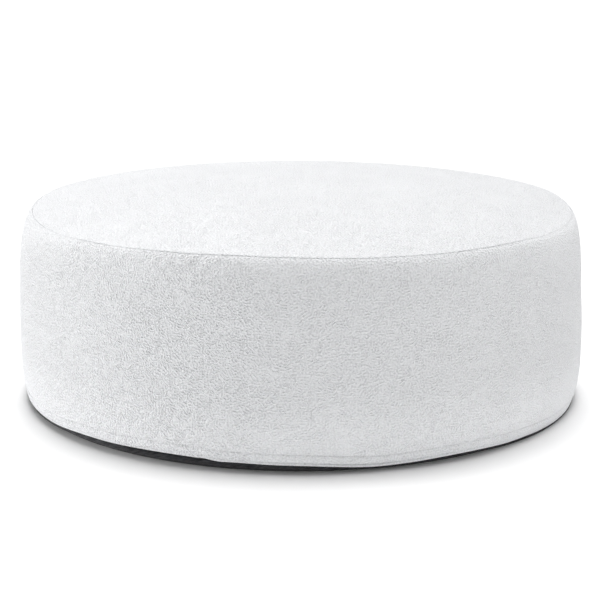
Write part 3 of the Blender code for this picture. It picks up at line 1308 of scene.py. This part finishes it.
@dataclass
class DarkCushion:
    """The filled round cushion in its dark casing, with its base seam's roll.

    It starts smaller than the room inside the cover by the slack, and the filling's
    pressure pushes no point further than swell_cap. What lies below shown_below stays
    as sewn. Round the hem's two layers it leaves the room under_hem.
    Its rings are listed from the top of the crown to the middle of the underside,
    and those above the roll from its middle and top. The roll bulges (out, up,
    thicker) where the hem is between the roll_high heights or above, pushes out at
    left_end (angle, spread), and is pressed thin where the hem goes from the first to
    the second of the tuck_low heights. The casing is gathered near that seam: below
    a height and beyond a radius, each with the distance over which that comes up.
    Faces that lean by less than upright, and lie beyond side_beyond, are its side.
    """

    form: CoverForm
    segments: int = 192
    slack: float = 0.004
    swell_cap: float = 0.003
    pressure: float = 4.0
    frames: int = 20
    shown_below: float = 0.045
    under_hem: float = 0.0061
    crown_shares: tuple[float, ...] = (
        0.0, 0.06, 0.14, 0.24, 0.34, 0.44, 0.54, 0.63, 0.71, 0.78, 0.84, 0.89, 0.93, 0.96,
    )
    shoulder_turns: tuple[float, ...] = (26.0, 36.0, 46.0, 56.0, 66.0, 75.0, 83.0, 90.0)
    waist_rings: int = 9
    side_heights: tuple[float, ...] = (0.096, 0.085, 0.074, 0.063, 0.053)
    edge_heights: tuple[float, ...] = (0.041, 0.032, 0.026)
    edge_turn: Point = (0.0030, 0.0062)
    roll_top: tuple[Point, ...] = ((-0.0040, 0.0042), (-0.0062, 0.0022), (-0.0062, 0.0004))
    roll_turn: tuple[float, float] = (-40.0, 165.0)
    roll_rings: int = 11
    foot_edge: tuple[Point, ...] = ((0.0030, 0.0004), (0.0012, 0.0001), (-0.0010, 0.0), (-0.0080, 0.0))
    foot_shares: tuple[float, ...] = (0.93, 0.84, 0.72, 0.58, 0.42, 0.26, 0.12, 0.0)
    roll_centre: Point = (0.4800, 0.0053)
    roll: float = 0.0036
    roll_high: tuple[float, float] = (0.0108, 0.0156)
    roll_bulge: tuple[float, float, float] = (0.0052, 0.0056, 0.0008)
    left_end: tuple[float, float] = (-68.0, 15.0)
    left_push: float = 0.0050
    tuck_low: tuple[float, float] = (0.0100, 0.0050)
    tuck_centre: Point = (0.4873, 0.0014)
    tuck_roll: float = 0.0013
    foot_radius: float = 0.4770
    gathered_below: tuple[float, float] = (0.022, 0.006)
    gathered_beyond: tuple[float, float] = (0.465, 0.01)
    upright: float = 0.75
    side_beyond: float = 0.4

    def section(self, angle: float) -> Line:
        """Follows the casing from the top of its crown to the middle of its underside.

        Args:
            angle: Degrees about Z.

        Returns:
            The line.
        """
        form = self.form
        place = form.place_at(angle)
        inset = form.cloth + form.gap + self.slack
        rings = [share * form.seam_radius for share in self.crown_shares]
        crown = [(radius, form.crown(place, radius) - inset) for radius in rings]
        side = [form.shoulder(place, math.radians(turn)) for turn in self.shoulder_turns]
        side += form.waist(side, self.waist_rings)
        side += [(form.lower_radius(height), height) for height in self.side_heights]
        side = [(radius - inset, height) for radius, height in side]
        (middle, height), roll = self.base_roll(place)
        top = height + roll
        edge = [(form.lower_radius(height) - self.under_hem, height) for height in self.edge_heights]
        edge.append((edge[-1][0] - self.edge_turn[0], top + self.edge_turn[1]))
        edge += [(middle + out, top + up) for out, up in self.roll_top]
        start, end = (math.radians(turn) for turn in self.roll_turn)
        turned = rolled((middle, height), roll, start, end, self.roll_rings)
        foot = [(self.foot_radius + out, up) for out, up in self.foot_edge]
        base = [(self.foot_radius * share, 0.0) for share in self.foot_shares]
        return crown + side + edge + turned + foot + base

    def base_roll(self, place: Place) -> tuple[Point, float]:
        """Finds the roll of the base seam, which bulges where the hem rides high.

        Args:
            place: How the cover sits there.

        Returns:
            The roll's middle, and its radius.
        """
        low, high = self.roll_high
        bulged = eased((place.hem_height - low) / (high - low))
        free, tight = self.tuck_low
        tucked = eased((free - place.hem_height) / (free - tight))
        middle, spread = self.left_end
        pushed = self.left_push * bell(off_angle(place.angle, middle), spread)
        plain = (self.roll_centre[0] + pushed, self.roll_centre[1], self.roll)
        under = (*self.tuck_centre, self.tuck_roll)
        freely = [size + more * bulged for size, more in zip(plain, self.roll_bulge)]
        radius, height, roll = (size + (thin - size) * tucked for size, thin in zip(freely, under))
        return (radius, height), roll

    def build(self, material: Material) -> Piece:
        """Builds the casing, fills it and finishes its sewn base.

        Args:
            material: Finish of the casing.

        Returns:
            The piece.
        """
        lines = [(angle, self.section(angle)) for angle in angles_round(self.segments)]
        bm = wrapped([[spot(angle, *point) for point in line] for angle, line in lines], False)
        mark(bm, "gathered", [[self.gathered(*point) for point in line] for _, line in lines])
        self.lay_cloth_map(bm)
        piece = finish_mesh("dark_cushion", bm, material)
        self.fill(piece)
        smooth = piece.modifiers.new("smooth", "SUBSURF")
        smooth.levels = 1
        smooth.render_levels = 1
        return piece

    def gathered(self, radius: float, height: float) -> float:
        """How much the casing is gathered at a point: only near its base seam."""
        top, fade = self.gathered_below
        inside, width = self.gathered_beyond
        return eased((top - height) / fade) * eased((radius - inside) / width)

    def lay_cloth_map(self, bm: Mesh) -> None:
        """Lays the cloth's own map, in metres: the side by its run, the rest from above.

        Args:
            bm: The casing's mesh.
        """
        cloth = bm.loops.layers.uv.new(CLOTH_MAP)
        for face in bm.faces:
            middle = face.calc_center_median()
            out = math.hypot(middle.x, middle.y)
            side = abs(face.normal.z) < self.upright and out > self.side_beyond
            centre_angle = angle_of(middle)
            for loop in face.loops:
                at = loop.vert.co
                if side:
                    angle = centre_angle + off_angle(angle_of(at), centre_angle)
                    loop[cloth].uv = (math.radians(angle) * self.form.widest_radius, at.z)
                else:
                    loop[cloth].uv = at.xy

    def fill(self, piece: Piece) -> None:
        """Pushes the casing out from inside, as its filling does.

        Args:
            piece: The casing, whose mesh is changed.
        """
        mesh = piece.data
        held = piece.vertex_groups.new(name="held")
        held.add([vert.index for vert in mesh.vertices if vert.co.z < self.shown_below], 1.0, "REPLACE")
        cloth = piece.modifiers.new("filling", "CLOTH")
        cloth.settings.vertex_group_mass = held.name
        cloth.settings.use_pressure = True
        cloth.settings.uniform_pressure_force = self.pressure
        cloth.settings.effector_weights.gravity = 0.0
        cloth.settings.quality = 5
        cloth.point_cache.frame_end = self.frames
        scene = bpy.context.scene
        for step in range(1, self.frames + 1):
            scene.frame_set(step)
        seen = piece.evaluated_get(bpy.context.evaluated_depsgraph_get())
        pushed = [vert.co.copy() for vert in seen.data.vertices]
        for vert, target in zip(mesh.vertices, pushed):
            move = target - vert.co
            if move.length > self.swell_cap:
                move *= self.swell_cap / move.length
            vert.co += move
        piece.modifiers.remove(cloth)
        piece.vertex_groups.remove(held)
        scene.frame_set(1)


# The studio


@dataclass(frozen=True)
class Softbox:
    """A broad soft light, far enough away to reach everything alike.

    The strength falls on a face square to it, as a share of full white. The azimuth
    is 0 in front and 90 on the right, and the spread is how wide it seems.
    """

    name: str
    strength: float
    azimuth: float
    elevation: float
    spread: float

    def place(self) -> None:
        """Stands the light in the scene."""
        lamp = bpy.data.lights.new(self.name, "SUN")
        lamp.energy = self.strength * math.pi
        lamp.angle = math.radians(self.spread)
        stand = bpy.data.objects.new(self.name, lamp)
        level = math.cos(math.radians(self.elevation))
        towards = spot(self.azimuth, level, math.sin(math.radians(self.elevation)))
        stand.rotation_euler = towards.to_track_quat("Z", "Y").to_euler()
        bpy.context.scene.collection.objects.link(stand)


SOFTBOXES = (
    Softbox("overhead", strength=0.49, azimuth=180.0, elevation=83.0, spread=26.0),
    Softbox("overhead_back", strength=0.455, azimuth=180.0, elevation=73.0, spread=30.0),
    Softbox("left", strength=0.86, azimuth=-100.0, elevation=6.0, spread=34.0),
    Softbox("right", strength=0.165, azimuth=90.0, elevation=20.0, spread=70.0),
    Softbox("right_back", strength=0.11, azimuth=125.0, elevation=25.0, spread=70.0),
    Softbox("front", strength=0.24, azimuth=0.0, elevation=8.0, spread=40.0),
)


@dataclass(frozen=True)
class Studio:
    """Pale floor, soft light and the camera, which looks down by camera_down radians.

    The floor's whiteness and the room's light are shares of full white.
    """

    camera_at: tuple[float, float, float] = (-0.0018, -3.001, 0.8853)
    camera_down: float = 0.2380
    lens: float = 102.94
    floor_radius: float = 40.0
    floor_white: float = 0.86
    room: float = 0.20

    def build(self) -> None:
        """Sets up the camera, the floor and the lights."""
        self.place_camera()
        self.lay_floor()
        self.light()

    def place_camera(self) -> None:
        """Stands the camera in front of the ottoman and looks slightly down on it."""
        camera = bpy.data.cameras.new("camera")
        camera.lens = self.lens
        camera.sensor_width = 36.0
        camera.clip_end = 200.0
        stand = bpy.data.objects.new("camera", camera)
        stand.location = self.camera_at
        stand.rotation_euler = (math.pi / 2 - self.camera_down, 0.0, 0.0)
        bpy.context.scene.collection.objects.link(stand)
        bpy.context.scene.camera = stand

    def lay_floor(self) -> None:
        """Lays a wide pale floor that the ottoman stands on."""
        bm = bmesh.new()
        bmesh.ops.create_circle(bm, cap_ends=True, segments=96, radius=self.floor_radius)
        floor = finish_mesh("floor", bm, self.floor_material())

    def floor_material(self) -> Material:
        """Makes a matt white floor with a faint mottle.

        Returns:
            The material.
        """
        material, tree, shader = open_material("pale_floor")
        mottle = tree.noise(tree.place("TexCoord").outputs["Object"], 3.0)
        whites = [(self.floor_white - less,) * 3 for less in (0.0, 0.006)]
        feeds = {
            "Base Color": tree.mixed(mottle, *whites),
            "Roughness": 1.0,
            "Specular IOR Level": 0.0,
        }
        tree.feed(shader, feeds)
        return material

    def light(self) -> None:
        """Lights the ottoman softly from above and the left, in a bright room."""
        scene = bpy.context.scene
        scene.view_settings.view_transform = "Standard"
        world = bpy.data.worlds.new("bright_room")
        world.use_nodes = True
        tree = Tree(world.node_tree)
        seen = tree.place("LightPath").outputs["Is Camera Ray"]
        background = world.node_tree.nodes["Background"].inputs
        tree.feed(background, {"Color": (1.0, 1.0, 1.0), "Strength": tree.maths("MAXIMUM", seen, self.room)})
        scene.world = world
        for softbox in SOFTBOXES:
            softbox.place()


def main() -> None:
    """Builds the studio, the cover, its stitches and the cushion, in that order."""
    logging.basicConfig(level=logging.INFO, format="%(name)s: %(message)s")
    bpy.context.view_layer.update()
    Studio().build()
    form = CoverForm.from_frame()
    pile = looped_pile_group()
    weave = plain_weave_group()
    top = TopPanel(form, Relief(puckers=(TOP_FOLDS,), seed=3.7))
    band = SideBand(form, Relief(puckers=(BAND_FOLDS,), seed=11.3))
    side_pile = PileCloth("white_pile_side", back_join=True, painted_bounce_light=0.18, pile_and_shade_by_side=(1.2, 0.8))
    top_piece = top.build(PileCloth("white_pile_top").material(pile))
    band_piece = band.build(side_pile.material(pile))
    thread = Thread("white_thread", (0.72, 0.72, 0.73)).material()
    hem_row = StitchRow("hem_stitches", band, band.stitch_height, band.stitch_dip).build(thread)
    edge_row = StitchRow("edge_stitches", band, band.edge_stitch_height, band.edge_stitch_dip).build(thread)
    cushion = DarkCushion(form).build(CasingCloth("dark_casing").material(weave))
    seat(top_piece, Slot.COVER, Node.TOP)
    seat(band_piece, Slot.COVER, Node.BAND)
    seat(hem_row, Slot.COVER)
    seat(edge_row, Slot.COVER)
    seat(cushion, Slot.CASING, Node.CUSHION)
    depth = length_of(band.outer_face(0.0)) + band.hem_depth


def plain(box: tuple) -> list[list[float]]:
    """The two corners of a box as plain numbers."""
    return [[float(value) for value in corner] for corner in box]


if __name__ == "__main__":
    main()
